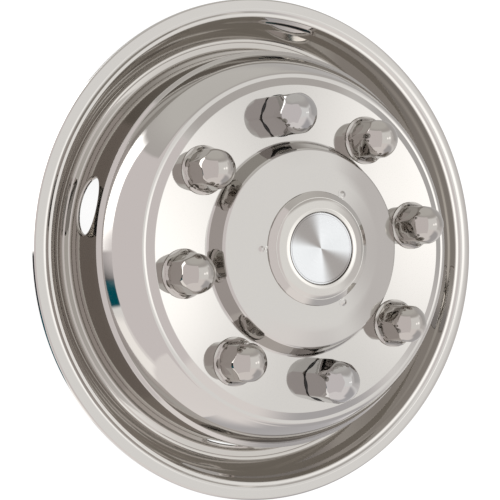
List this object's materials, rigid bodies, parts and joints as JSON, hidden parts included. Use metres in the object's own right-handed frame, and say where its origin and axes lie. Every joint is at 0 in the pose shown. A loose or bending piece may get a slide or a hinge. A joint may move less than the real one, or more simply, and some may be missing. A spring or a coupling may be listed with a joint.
{
  "type": "truck wheel simulator",
  "caption": "Drawn stainless wheel liner with a domed disc, hand holes, hexagonal dome lug covers, mounting nuts and a centre cap, lying on its back.",
  "frame": {"origin": "under the centre of the wheel, on the surface that the floor of the liner rests on", "axes": "+Z points out of the wheel, through the cap; the hand holes lie on X and Y, and the studs half-way between"},
  "size_m": [0.5288, 0.5288, 0.1552],
  "materials": {
    "liner_stainless": "mirror polished",
    "cap_stainless": "mirror polished",
    "cover_stainless": "mirror polished",
    "nut_chrome": "chrome plated",
    "medallion_aluminium": "spun",
    "spring_steel": "phosphated",
    "washer_nylon": "moulded"
  },
  "bodies": {
    "root": {"wheel_liner": "liner_stainless", "centre_cap": "cap_stainless", "cap_spring_ring": "spring_steel", "medallion": "medallion_aluminium", "lug_cover_1": "cover_stainless", "lug_cover_2": "cover_stainless", "lug_cover_3": "cover_stainless", "lug_cover_4": "cover_stainless", "lug_cover_5": "cover_stainless", "lug_cover_6": "cover_stainless", "cover_retainer_1": "spring_steel", "cover_retainer_2": "spring_steel", "cover_retainer_3": "spring_steel", "cover_retainer_4": "spring_steel", "cover_retainer_5": "spring_steel", "cover_retainer_6": "spring_steel", "mounting_nut_1": "nut_chrome", "mounting_nut_2": "nut_chrome", "nut_washer_1": "washer_nylon", "nut_washer_2": "washer_nylon", "nut_snap_ring_1": "spring_steel", "nut_snap_ring_2": "spring_steel"}
  },
  "joints": []
}
